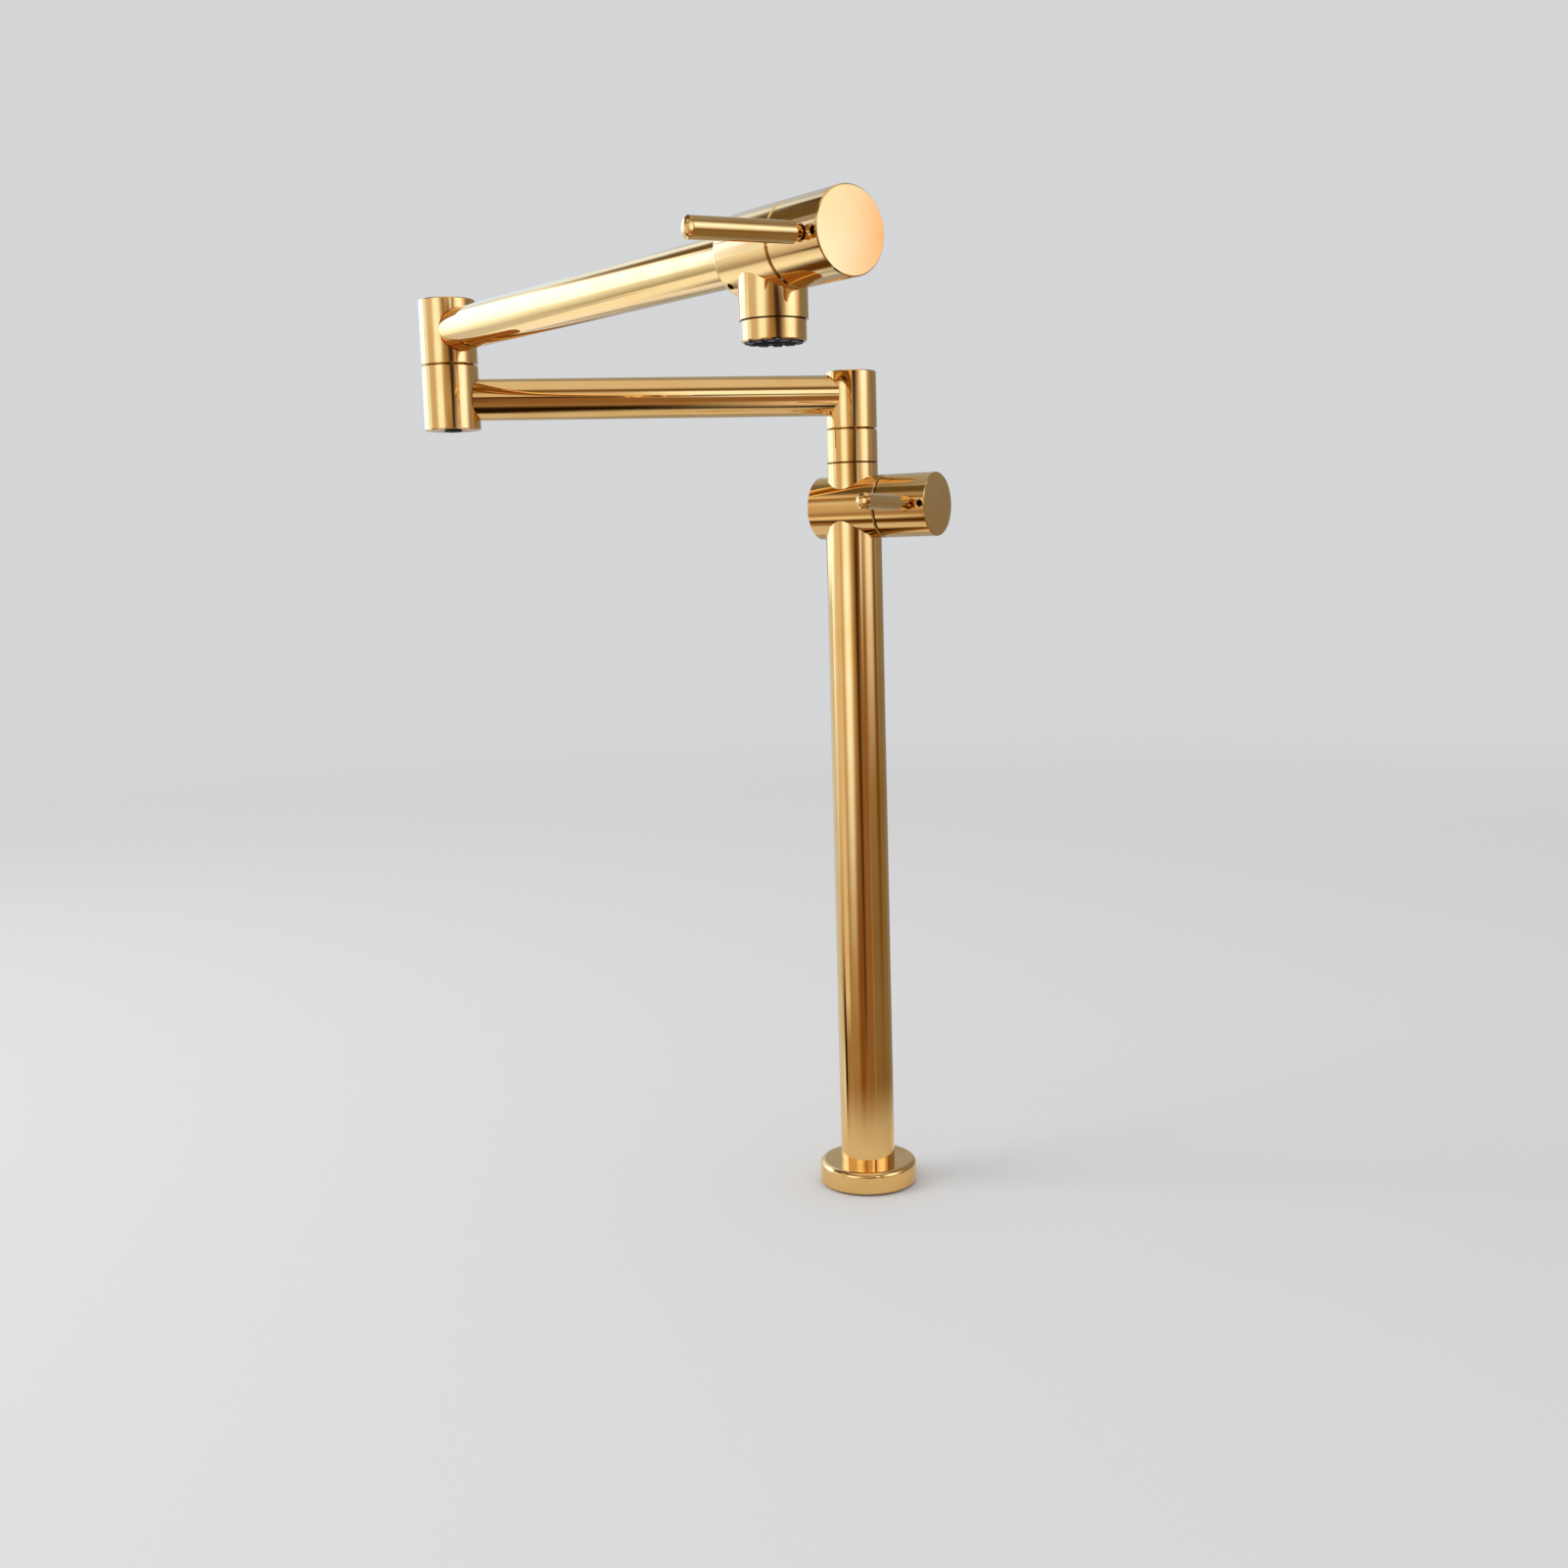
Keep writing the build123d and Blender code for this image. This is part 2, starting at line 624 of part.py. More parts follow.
def post_ring(place):
    """A sealing ring round a swivel post."""
    return Pos(0, 0, place) * seal_ring(post_r - post_ring_section / 2, post_ring_section)


def groove_z(radius, place, section):
    """A sealing ring's groove in a cylinder about Z."""
    half = section / 2 + ring_side_gap
    return turned_z(radius + past, place - half, place + half, radius - section)


def cut_tube_socket(hub, radius, seat, height):
    """Cut the socket for an arm tube and the port behind it, along +X at a height."""
    socket = turned_x(tube_r + fit_gap, radius - seat, radius + past)
    socket += turned_x(arm_port_d / 2, 0, radius)
    hub -= Pos(0, 0, height) * socket
    skin = radius - fit_gap
    curved = [edge for edge in hub.edges() if edge.geom_type not in (GeomType.LINE, GeomType.CIRCLE)]
    saddle = [edge for edge in curved if edge.bounding_box().max.X > skin]
    return chamfer(saddle, socket_break)


def arm_tube(frame, height, start, end):
    """A straight arm tube along the frame's +X."""
    return frame * Pos(0, 0, height) * turned_x(tube_r, start, end, tube_r - tube_wall)


# Far joint: the upper arm's post turns in the lower arm's hub


def build_elbow():
    post_foot = elbow_bottom + elbow_floor
    hub_floor = post_foot - fit_gap
    lower_top = elbow_seam - half_seam
    hub = break_edges(turned_z(elbow_r, elbow_bottom, lower_top), Axis.Z)
    hub -= turned_z(post_r + fit_gap, hub_floor, lower_top)
    gallery_low = lower_tube_height - elbow_gallery_height / 2
    hub -= turned_z(post_r + elbow_gallery_room, gallery_low, gallery_low + elbow_gallery_height)
    bearing_low = elbow_seam + half_seam - fit_gap - bearing_thickness
    hub -= turned_z(bearing_outer_r, bearing_low, elbow_seam, bearing_inner_r)
    hub -= turned_z(elbow_screw_d / 2 + 2 * fit_gap, elbow_bottom, hub_floor)
    head_seat = elbow_bottom - elbow_screw_proud + elbow_screw_head
    hub -= turned_z(elbow_screw_head_d / 2 + 2 * fit_gap, elbow_bottom, head_seat)
    hub = cut_tube_socket(hub, elbow_r, elbow_tube_seat, lower_tube_height)
    nodes["elbow_lower_hub"] = far_lower_frame * hub
    nodes["elbow_bearing"] = far_frame * bearing_ring(bearing_low)

    low = elbow_seam + half_seam
    post_top = low + post_thread_length
    upper = break_edges(turned_z(elbow_r, low, elbow_top), Axis.Z)
    upper -= turned_z(post_r + fit_gap, low, post_top + fit_gap)
    upper -= turned_z(hub_chamber_d / 2, post_top, upper_tube_height + arm_port_d / 2)
    upper = cut_tube_socket(upper, elbow_r, elbow_tube_seat, upper_tube_height)
    nodes["elbow_upper_hub"] = far_upper_frame * upper

    bore_floor = gallery_low + post_floor
    post = turned_z(post_r, post_foot, post_top)
    post -= turned_z(post_bore_d / 2, bore_floor, post_top)
    for angle in (0, 90):
        cross = turned_x(cross_hole_d / 2, -post_d, post_d)
        post -= Pos(0, 0, lower_tube_height) * Rot(0, 0, angle) * cross
    post -= turned_z(elbow_screw_d / 2, post_foot, bore_floor)
    places = [elbow_seam - post_ring_gap - post_ring_pitch * i for i in range(post_ring_count)]
    places.append((post_foot + gallery_low) / 2)
    for place in places:
        post -= groove_z(post_r, place, post_ring_section)
    nodes["elbow_post"] = far_upper_frame * post
    nodes["elbow_post_rings"] = [far_frame * post_ring(place) for place in places]

    head_low = elbow_bottom - elbow_screw_proud
    screw = turned_z(elbow_screw_head_d / 2, head_low, head_seat - fit_gap)
    screw = break_edges(screw, Axis.Z)
    thread_top = bore_floor - elbow_screw_room
    screw += turned_z(elbow_screw_d / 2 - fit_gap, head_seat - fit_gap, thread_top)
    socket = extrude(hexagon(screw_hex), screw_hex_depth)
    screw -= Pos(0, 0, head_low) * socket
    nodes["elbow_screw"] = far_frame * screw


def build_aerator():
    thread_low = -spout_length
    thread_top = thread_low + aerator_thread_length
    bottom = thread_low - aerator_height
    bore_r = aerator_bore_d / 2
    rim_top = bottom + insert_rim_depth
    housing = break_edges(turned_z(aerator_d / 2, bottom, thread_low - fit_gap), Axis.Z)
    housing += turned_z(aerator_thread_d / 2 - fit_gap, thread_low - fit_gap, thread_top)
    housing -= turned_z(bore_r, bottom, thread_top)
    housing -= turned_z(insert_rim_d / 2, bottom, rim_top)
    nodes["aerator_housing"] = upper_valve_frame * housing

    rim_r = insert_rim_d / 2 - fit_gap
    rim_low = bottom - insert_proud
    screen_low = rim_low + insert_mouth_depth
    screen_high = screen_low + screen_thickness
    insert = break_edges(turned_z(rim_r, rim_low, rim_top), Axis.Z, ring_corner)
    insert += turned_z(bore_r - fit_gap, rim_top, thread_top)
    insert -= turned_z(insert_mouth_d / 2, rim_low, screen_low)
    insert -= turned_z(bore_r - insert_wall, screen_high, thread_top)
    drill = Pos(0, 0, (screen_low + screen_high) / 2) * Cylinder(insert_hole_d / 2, screen_thickness + past)
    insert -= drill
    for ring in range(1, insert_hole_rings):
        insert -= PolarLocations(ring * insert_hole_pitch, ring * insert_first_ring) * drill
    rim_width = insert_rim_d - insert_mouth_d
    notch = Pos(0, 0, rim_low) * Box(rim_width, insert_notch_width, 2 * insert_notch_depth)
    insert -= PolarLocations(rim_r, insert_notches) * notch
    nodes["aerator_insert"] = upper_valve_frame * insert

    seal_top = thread_top + aerator_seal_thickness
    seal = turned_z(aerator_thread_d / 2 - 2 * fit_gap, thread_top, seal_top, insert_mouth_d / 2)
    nodes["aerator_seal"] = upper_valve_frame * seal


def build_tubes():
    start = hub_r - hub_tube_seat
    end = lower_arm_reach - elbow_r + elbow_tube_seat
    nodes["lower_arm_tube"] = arm_tube(lower_arm_frame, lower_tube_height, start, end)
    start = elbow_r - elbow_tube_seat
    end = upper_arm_reach - upper_body_left + valve_tube_seat
    nodes["upper_arm_tube"] = arm_tube(far_upper_frame, upper_tube_height, start, end)


def build_valves():
    lower_seam = lower_valve_frame * Pos(lower_body_right, 0, 0)
    upper_seam = upper_valve_frame * Pos(upper_body_right, 0, 0)
    # Neither lever stands quite level, so each cartridge is turned with its knob
    lower_seam *= Rot(lower_lever_droop, 0, 0)
    upper_seam *= Rot(upper_lever_droop, 0, 0)
    build_cartridge("lower", lower_seam, 1)
    build_cartridge("upper", upper_seam, -1)
    build_knob("lower", lower_seam, lower_lever_reach)
    build_knob("upper", upper_seam, upper_lever_reach)


build_base()
build_lower_body()
build_upper_body()
build_valves()
build_riser_swivel()
build_elbow()
build_tubes()
build_aerator()

for node, shape in nodes.items():
    if isinstance(shape, list):
        shape = Compound(children=[piece.solid() for piece in shape])
    shape.label = node
    export_step(shape, f"parts/{node}.step")
    print(node, round(shape.volume, 1))
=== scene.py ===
"""Folding pot filler faucet in polished gold, dressed over its own CAD frame.

Run as a script in Blender. Each operator dresses one group of pieces or sets up the stage, and main() calls
them in order. Metres, +Z up, the worktop's top face at height zero, the riser on the Z axis.
"""

import json
import math

import bpy
import numpy as np
from mathutils import Matrix, Vector


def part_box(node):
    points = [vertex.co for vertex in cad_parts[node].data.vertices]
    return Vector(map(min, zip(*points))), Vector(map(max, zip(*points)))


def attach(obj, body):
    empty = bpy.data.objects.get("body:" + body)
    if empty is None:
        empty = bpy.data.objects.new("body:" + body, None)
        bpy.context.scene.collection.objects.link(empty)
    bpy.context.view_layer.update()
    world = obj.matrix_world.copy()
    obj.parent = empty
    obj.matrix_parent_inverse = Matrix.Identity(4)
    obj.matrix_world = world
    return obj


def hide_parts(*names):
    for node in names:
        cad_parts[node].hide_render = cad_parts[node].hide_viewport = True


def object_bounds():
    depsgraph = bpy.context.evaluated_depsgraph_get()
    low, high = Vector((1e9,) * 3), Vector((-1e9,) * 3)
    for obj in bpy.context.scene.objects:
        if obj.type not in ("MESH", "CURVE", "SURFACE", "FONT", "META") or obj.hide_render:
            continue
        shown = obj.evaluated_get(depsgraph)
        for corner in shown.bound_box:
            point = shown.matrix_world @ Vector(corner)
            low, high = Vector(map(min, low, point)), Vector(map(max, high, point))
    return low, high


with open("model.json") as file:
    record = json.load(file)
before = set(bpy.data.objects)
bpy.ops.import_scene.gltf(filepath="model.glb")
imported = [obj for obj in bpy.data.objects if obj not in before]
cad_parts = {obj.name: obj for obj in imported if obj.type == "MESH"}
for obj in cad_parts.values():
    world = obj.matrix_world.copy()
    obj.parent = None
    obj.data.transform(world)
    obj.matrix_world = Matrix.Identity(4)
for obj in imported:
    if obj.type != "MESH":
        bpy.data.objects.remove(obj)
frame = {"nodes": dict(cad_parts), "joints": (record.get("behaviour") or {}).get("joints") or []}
cad_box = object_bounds()

bl_info = {
    "name": "Folding pot filler dresser",
    "version": (1, 0, 0),
    "blender": (4, 5, 0),
    "location": "3D View > Sidebar > Faucet",
    "description": "Finishes, threads, camera and studio of a folding pot filler faucet",
    "category": "Object",
}

# Camera, fitted to the outlines of the faucet's cylinders
CAMERA_PLACE = (0.468129, -0.851797, 0.364952)
CAMERA_YAW = math.radians(31.334)       # to the left of +Y
CAMERA_PITCH = math.radians(-7.586)
CAMERA_ROLL = math.radians(-1.6495)
FOCAL_PIXELS = 1755.1                   # in the picture's 1600 pixels
PICTURE_PIXELS = 1600
SENSOR = 36.0                           # millimetres
CLIP_NEAR, CLIP_FAR = 0.01, 50.0

GOLD_PIECES = (
    "base_flange", "riser_tube", "lower_valve_body", "lower_knob", "lower_lever", "riser_hub",
    "lower_arm_tube", "elbow_lower_hub", "elbow_upper_hub", "upper_arm_tube", "upper_valve_body",
    "upper_knob", "upper_lever",
)
# Gold pieces whose spigot shows in the seam over their shoulder, with painted shade in that seam: the
# shoulder's height in metres
SEAMED_PIECES = {"swivel_collar": 0.4143, "aerator_housing": 0.4582}
SEAM = 0.0006                           # a seam's height

UP = Vector((0.0, 0.0, 1.0))
WHITE = (1.0, 1.0, 1.0)


# Shader expressions


class Wire:
    """A node's output, on which Python's operators add Math nodes."""

    def __init__(self, tree, socket):
        self.tree = tree
        self.socket = socket

    def math(self, operation, first, second):
        made = self.tree.node("ShaderNodeMath", {"operation": operation}, {0: first, 1: second})
        return self.tree.out(made)

    def __add__(self, other):
        return self.math("ADD", self, other)

    def __sub__(self, other):
        return self.math("SUBTRACT", self, other)

    def __mul__(self, other):
        return self.math("MULTIPLY", self, other)

    def __pow__(self, other):
        return self.math("POWER", self, other)

    def __rsub__(self, other):
        return self.math("SUBTRACT", other, self)

    __radd__ = __add__
    __rmul__ = __mul__

    def larger(self, other):
        return self.math("MAXIMUM", self, other)

    def steps(self, start, end):
        """0 up to start, 1 from end, with a smooth rise between them."""
        made = self.tree.node(
            "ShaderNodeMapRange",
            {"interpolation_type": "SMOOTHSTEP"},
            {"Value": self, "From Min": start, "From Max": end},
        )
        return self.tree.out(made)


class Tree:
    """The nodes of one material or world."""

    def __init__(self, owner):
        owner.use_nodes = True
        self.nodes = owner.node_tree.nodes
        self.links = owner.node_tree.links
        self.nodes.clear()

    def feed(self, socket, value):
        """Link a wire to a socket, or give the socket a value of its own."""
        if isinstance(value, Wire):
            self.links.new(value.socket, socket)
        else:
            socket.default_value = value

    def node(self, kind, settings=None, sockets=None):
        """Add a node: its settings are set first, then each socket gets its value or link."""
        made = self.nodes.new(kind)
        for name, value in (settings or {}).items():
            setattr(made, name, value)
        for key, value in (sockets or {}).items():
            self.feed(made.inputs[key], value)
        return made

    def out(self, made, name=0):
        return Wire(self, made.outputs[name])

    def place(self):
        """The piece's own coordinates, in metres."""
        return self.out(self.node("ShaderNodeTexCoord"), "Object")

    def split(self, vector):
        """A vector's three parts."""
        made = self.node("ShaderNodeSeparateXYZ", sockets={0: vector})
        return [self.out(made, i) for i in range(3)]

    def vector_math(self, operation, sockets, name=0):
        return self.out(self.node("ShaderNodeVectorMath", {"operation": operation}, sockets), name)

    def noise(self, vector, scale, detail, roughness=0.5, distortion=0.0):
        """Cloudy noise from 0 to 1, with scale in cells per metre."""
        made = self.node(
            "ShaderNodeTexNoise",
            sockets={
                "Vector": vector,
                "Scale": scale,
                "Detail": detail,
                "Roughness": roughness,
                "Distortion": distortion,
            },
        )
        return self.out(made, "Fac")

    def blend(self, factor, first, second):
        """A colour between two others."""
        made = self.node("ShaderNodeMix", {"data_type": "RGBA"}, {"Factor": factor})
        ends = [socket for socket in made.inputs if socket.type == "RGBA"]
        for socket, colour in zip(ends, (first, second)):
            self.feed(socket, colour if isinstance(colour, Wire) else as_colour(colour))
        return Wire(self, next(socket for socket in made.outputs if socket.type == "RGBA"))

    def bump(self, height, strength, distance):
        sockets = {"Height": height, "Strength": strength, "Distance": distance}
        return self.out(self.node("ShaderNodeBump", sockets=sockets))

    def show(self, shader, output="ShaderNodeOutputMaterial"):
        """Make a shader what the material or world shows."""
        self.node(output, sockets={"Surface": shader})

    def surface(self, sockets):
        """Show a Principled surface."""
        self.show(self.out(self.node("ShaderNodeBsdfPrincipled", sockets=sockets)))


def as_colour(value):
    return (*value, 1.0)


def new_material(name):
    """A material and its empty tree of nodes."""
    material = bpy.data.materials.new(name)
    return material, Tree(material)


# Surfaces


def grid_mesh(name, points, closed_rows=False, closed_columns=False, flip=False):
    """A smooth mesh object at the origin from a grid of points, with one face of four corners in each cell.

    Cell (i, j) has the corners (i, j), (i + 1, j), (i + 1, j + 1) and (i, j + 1). In a direction in which
    the grid is closed its last points are joined to its first, so i + 1 or j + 1 is taken modulo the grid's
    size. With flip the corners go round the other way, which turns the faces over.
    """
    rows, columns = points.shape[:2]
    i, j = np.meshgrid(
        np.arange(rows if closed_rows else rows - 1),
        np.arange(columns if closed_columns else columns - 1),
        indexing="ij",
    )
    below, right = (i + 1) % rows, (j + 1) % columns
    corners = [i * columns + j, below * columns + j, below * columns + right, i * columns + right]
    if flip:
        corners = [corners[0], *corners[:0:-1]]
    faces = np.stack(corners, -1).reshape(-1, 4)
    mesh = bpy.data.meshes.new(name)
    mesh.vertices.add(rows * columns)
    mesh.vertices.foreach_set("co", points.astype(np.float32).ravel())
    mesh.loops.add(faces.size)
    mesh.loops.foreach_set("vertex_index", faces.astype(np.int32).ravel())
    mesh.polygons.add(len(faces))
    mesh.polygons.foreach_set("loop_start", np.arange(0, faces.size, 4, dtype=np.int32))
    mesh.polygons.foreach_set("use_smooth", np.ones(len(faces), dtype=bool))
    mesh.update(calc_edges=True)
    mesh.validate()
    piece = bpy.data.objects.new(name, mesh)
    bpy.context.scene.collection.objects.link(piece)
    return piece


# Finishes


class FinishSettings(bpy.types.PropertyGroup):
    """Colours and polish of the faucet's materials."""

    gold: bpy.props.FloatVectorProperty(
        name="Gold", description="Colour of the polished gold plating",
        subtype="COLOR", size=3, default=(0.93, 0.60, 0.24), min=0.0, max=1.0,
    )
    deep_gold: bpy.props.FloatVectorProperty(
        name="Deep gold", description="Colour where the plating is a shade deeper",
        subtype="COLOR", size=3, default=(0.88, 0.53, 0.18), min=0.0, max=1.0,
    )
    gold_roughness: bpy.props.FloatProperty(
        name="Gold roughness", description="Roughness of the polished plating",
        subtype="FACTOR", default=0.03, min=0.0, max=1.0,
    )
    # The seam colour is painted shade: the dark of the narrow gap between two gold parts, put into the gold's
    # colour there.
    seam: bpy.props.FloatVectorProperty(
        name="Seam", description="Colour of the gold deep in a seam",
        subtype="COLOR", size=3, default=(0.16, 0.07, 0.02), min=0.0, max=1.0,
    )
    brass: bpy.props.FloatVectorProperty(
        name="Raw brass", description="Colour of turned brass that has no plating",
        subtype="COLOR", size=3, default=(0.70, 0.49, 0.20), min=0.0, max=1.0,
    )
    steel: bpy.props.FloatVectorProperty(
        name="Stainless steel", description="Colour of the spring clips and the clamp washer",
        subtype="COLOR", size=3, default=(0.60, 0.59, 0.57), min=0.0, max=1.0,
    )
    rubber: bpy.props.FloatVectorProperty(
        name="Rubber", description="Colour of the gaskets and sealing rings",
        subtype="COLOR", size=3, default=(0.022, 0.022, 0.023), min=0.0, max=1.0,
    )
    ceramic: bpy.props.FloatVectorProperty(
        name="Ceramic", description="Colour of the valve discs",
        subtype="COLOR", size=3, default=(0.86, 0.85, 0.81), min=0.0, max=1.0,
    )
    # On the elbow screw and the tube's lock screw this near black is partly painted shade, for the shade
    # under the elbow and in the lock screw's hole.
    black_steel: bpy.props.FloatVectorProperty(
        name="Black steel", description="Colour of the blackened screws",
        subtype="COLOR", size=3, default=(0.045, 0.042, 0.040), min=0.0, max=1.0,
    )
    bearing: bpy.props.FloatVectorProperty(
        name="Bearing plastic", description="Colour of the thrust washer",
        subtype="COLOR", size=3, default=(0.82, 0.82, 0.79), min=0.0, max=1.0,
    )
    plastic: bpy.props.FloatVectorProperty(
        name="Dark plastic", description="Colour of the aerator's insert and the bearing rings",
        subtype="COLOR", size=3, default=(0.04, 0.04, 0.043), min=0.0, max=1.0,
    )


# Scales of the noise in the finishes, in cells per metre
GOLD_CLOUDS = 38.0
GOLD_WIPING = 110.0
METAL_STAINS = 120.0
LATHE_RINGS = 5200.0
MOULDED_CLOUDS = 150.0

# Levels of the noise between which a finish goes from one state to the other
CLOUD_LEVELS = (0.3, 0.8)
WIPING_LEVELS = (0.55, 0.8)
STAIN_LEVELS = (0.35, 0.75)

# The share of its roughness that a finish has everywhere, then what each noise adds to that
GOLD_PLAIN, GOLD_CLOUDED, GOLD_WIPED = 0.75, 0.8, 0.4
TURNED_PLAIN, TURNED_RINGED, TURNED_STAINED = 0.75, 0.35, 0.3
MOULDED_PLAIN, MOULDED_GRAINED = 0.85, 0.3

# The seam's dark line is painted shade in the gold's colour.
SEAM_SHADE_EDGE = 0.1                         # share of a seam's height in which its dark line comes up, and goes
SEAM_DULLNESS = 0.4                     # added to the roughness in a seam
RING_SLOPE = 0.7                        # how fast a lathe's rings follow each other on an end face
RING_BUMP = (0.35, 0.00002)             # strength, and depth in metres
STAIN_SHADE = 0.82                      # share of the colour that is left in a stain
PALE_GAIN, PALE_LIFT = 1.12, 0.004      # how a moulded piece's paler colour comes from its own
GRAIN_BUMP = 0.4                        # strength

# Moulded and lapped pieces: roughness, the grain's cells per metre and its depth in metres
SEAL = (0.55, 900.0, 0.00003)
GASKET = (0.6, 700.0, 0.00004)
CERAMIC_DISC = (0.12, 2500.0, 0.000003)
THRUST_WASHER = (0.42, 1200.0, 0.00001)
BEARING_RING = (0.5, 1200.0, 0.00001)
AERATOR_INSERT = (0.36, 1500.0, 0.00001)

# Roughness of the turned pieces
BRASS_ROUGHNESS = 0.26
NUT_ROUGHNESS = 0.3
CLIP_ROUGHNESS = 0.24
CLAMP_WASHER_ROUGHNESS = 0.28
SCREW_ROUGHNESS = 0.4
ELBOW_SCREW_ROUGHNESS = 0.36


def polished_gold(look, name="gold_polished", seam=None):
    """Mirror polish: faint clouds in colour and roughness, a trace of wiping, and painted shade as a dark
    line in a seam.
    """
    material, tree = new_material(name)
    place = tree.place()
    clouds = tree.noise(place, GOLD_CLOUDS, detail=3.0)
    wiping = tree.noise(place, GOLD_WIPING, detail=2.0, distortion=1.5)
    uneven = GOLD_PLAIN + GOLD_CLOUDED * clouds + GOLD_WIPED * wiping.steps(*WIPING_LEVELS)
    roughness = look.gold_roughness * uneven
    colour = tree.blend(clouds.steps(*CLOUD_LEVELS), look.gold, look.deep_gold)
    # Painted shade: within the seam's band the colour goes to the dark seam colour, where shade falls in the
    # gap between the parts.
    if seam is not None:
        height = tree.split(place)[2]
        above_foot = height.steps(seam, seam + SEAM_SHADE_EDGE * SEAM)
        inside = above_foot - height.steps(seam + (1 - SEAM_SHADE_EDGE) * SEAM, seam + SEAM)
        colour = tree.blend(inside, colour, look.seam)
        roughness = roughness + SEAM_DULLNESS * inside
    tree.surface({"Base Color": colour, "Metallic": 1.0, "Roughness": roughness})
    return material


def lathe_lines(tree, centre, axis):
    """Noise in rings round an axis: on the side it changes along the axis, on an end face with the radius."""
    moved = tree.vector_math("SUBTRACT", {0: tree.place(), 1: tuple(centre)})
    along = tree.vector_math("DOT_PRODUCT", {0: moved, 1: tuple(axis)}, "Value")
    whole = tree.vector_math("LENGTH", {0: moved}, "Value")
    radius = (whole * whole - along * along).larger(0.0) ** 0.5
    line = tree.node("ShaderNodeCombineXYZ", sockets={0: along + RING_SLOPE * radius})
    return tree.noise(tree.out(line), LATHE_RINGS, detail=2.0, roughness=0.6)


def turned_metal(name, colour, roughness, centre, axis):
    """Bare metal off the lathe, with the tool's fine rings and faint stains."""
    material, tree = new_material(name)
    rings = lathe_lines(tree, centre, axis)
    stain = tree.noise(tree.place(), METAL_STAINS, detail=3.0)
    dull = tuple(STAIN_SHADE * part for part in colour)
    tree.surface({
        "Base Color": tree.blend(stain.steps(*STAIN_LEVELS), colour, dull),
        "Metallic": 1.0,
        "Roughness": roughness * (TURNED_PLAIN + TURNED_RINGED * rings + TURNED_STAINED * stain),
        "Normal": tree.bump(rings, *RING_BUMP),
    })
    return material


def moulded(name, colour, roughness, grain_scale, grain_depth):
    """Rubber, plastic or ceramic: a nearly even colour with a fine grain and slightly uneven gloss."""
    material, tree = new_material(name)
    place = tree.place()
    grain = tree.noise(place, grain_scale, detail=3.0, roughness=0.6)
    clouds = tree.noise(place, MOULDED_CLOUDS, detail=2.0)
    pale = tuple(min(1.0, PALE_GAIN * part + PALE_LIFT) for part in colour)
    tree.surface({
        "Base Color": tree.blend(clouds.steps(*CLOUD_LEVELS), colour, pale),
        "Roughness": roughness * (MOULDED_PLAIN + MOULDED_GRAINED * grain),
        "Normal": tree.bump(grain, GRAIN_BUMP, grain_depth),
    })
    return material


def dress(node, material):
    """Give a CAD node's own material slots a better material."""
    shown = frame["nodes"][node]
    for slot in shown.material_slots:
        slot.material = material
    if not shown.material_slots:
        shown.data.materials.append(material)


def joint_line(name):
    """A joint's place and direction, from the record."""
    joint = next(j for j in frame["joints"] if j["name"] == name)
    return Vector(joint["pos_m"]), Vector(joint["axis"]).normalized()


class FAUCET_OT_gold(bpy.types.Operator):
    """Polish the gold plated pieces"""

    bl_idname = "faucet.gold"
    bl_label = "Gold plating"

    def execute(self, context):
        look = context.scene.faucet_finish
        material = polished_gold(look)
        for node in GOLD_PIECES:
            dress(node, material)
        for node, seam in SEAMED_PIECES.items():
            dress(node, polished_gold(look, f"gold_{node}", seam))
        return {"FINISHED"}


class FAUCET_OT_valve_insides(bpy.types.Operator):
    """Finish the two ceramic cartridges with their spindles, discs and seals, and the knobs' screws"""

    bl_idname = "faucet.valve_insides"
    bl_label = "Valve insides"

    def execute(self, context):
        look = context.scene.faucet_finish
        rubber = moulded("rubber_seals", look.rubber, *SEAL)
        ceramic = moulded("ceramic_lapped", look.ceramic, *CERAMIC_DISC)
        for name in ("lower", "upper"):
            line = joint_line(f"{name}_valve_turn")
            brass = turned_metal(f"brass_turned_{name}", look.brass, BRASS_ROUGHNESS, *line)
            steel = turned_metal(f"steel_{name}", look.steel, CLIP_ROUGHNESS, *line)
            for part in ("cartridge_housing", "spindle"):
                dress(f"{name}_{part}", brass)
            dress(f"{name}_spindle_clip", steel)
            black = turned_metal(f"grub_{name}", look.black_steel, SCREW_ROUGHNESS, *line)
            dress(f"{name}_grub_screw", black)
            for part in ("seat_seal", "housing_ring", "spindle_rings"):
                dress(f"{name}_{part}", rubber)
            for part in ("fixed_disc", "moving_disc"):
                dress(f"{name}_{part}", ceramic)
        return {"FINISHED"}


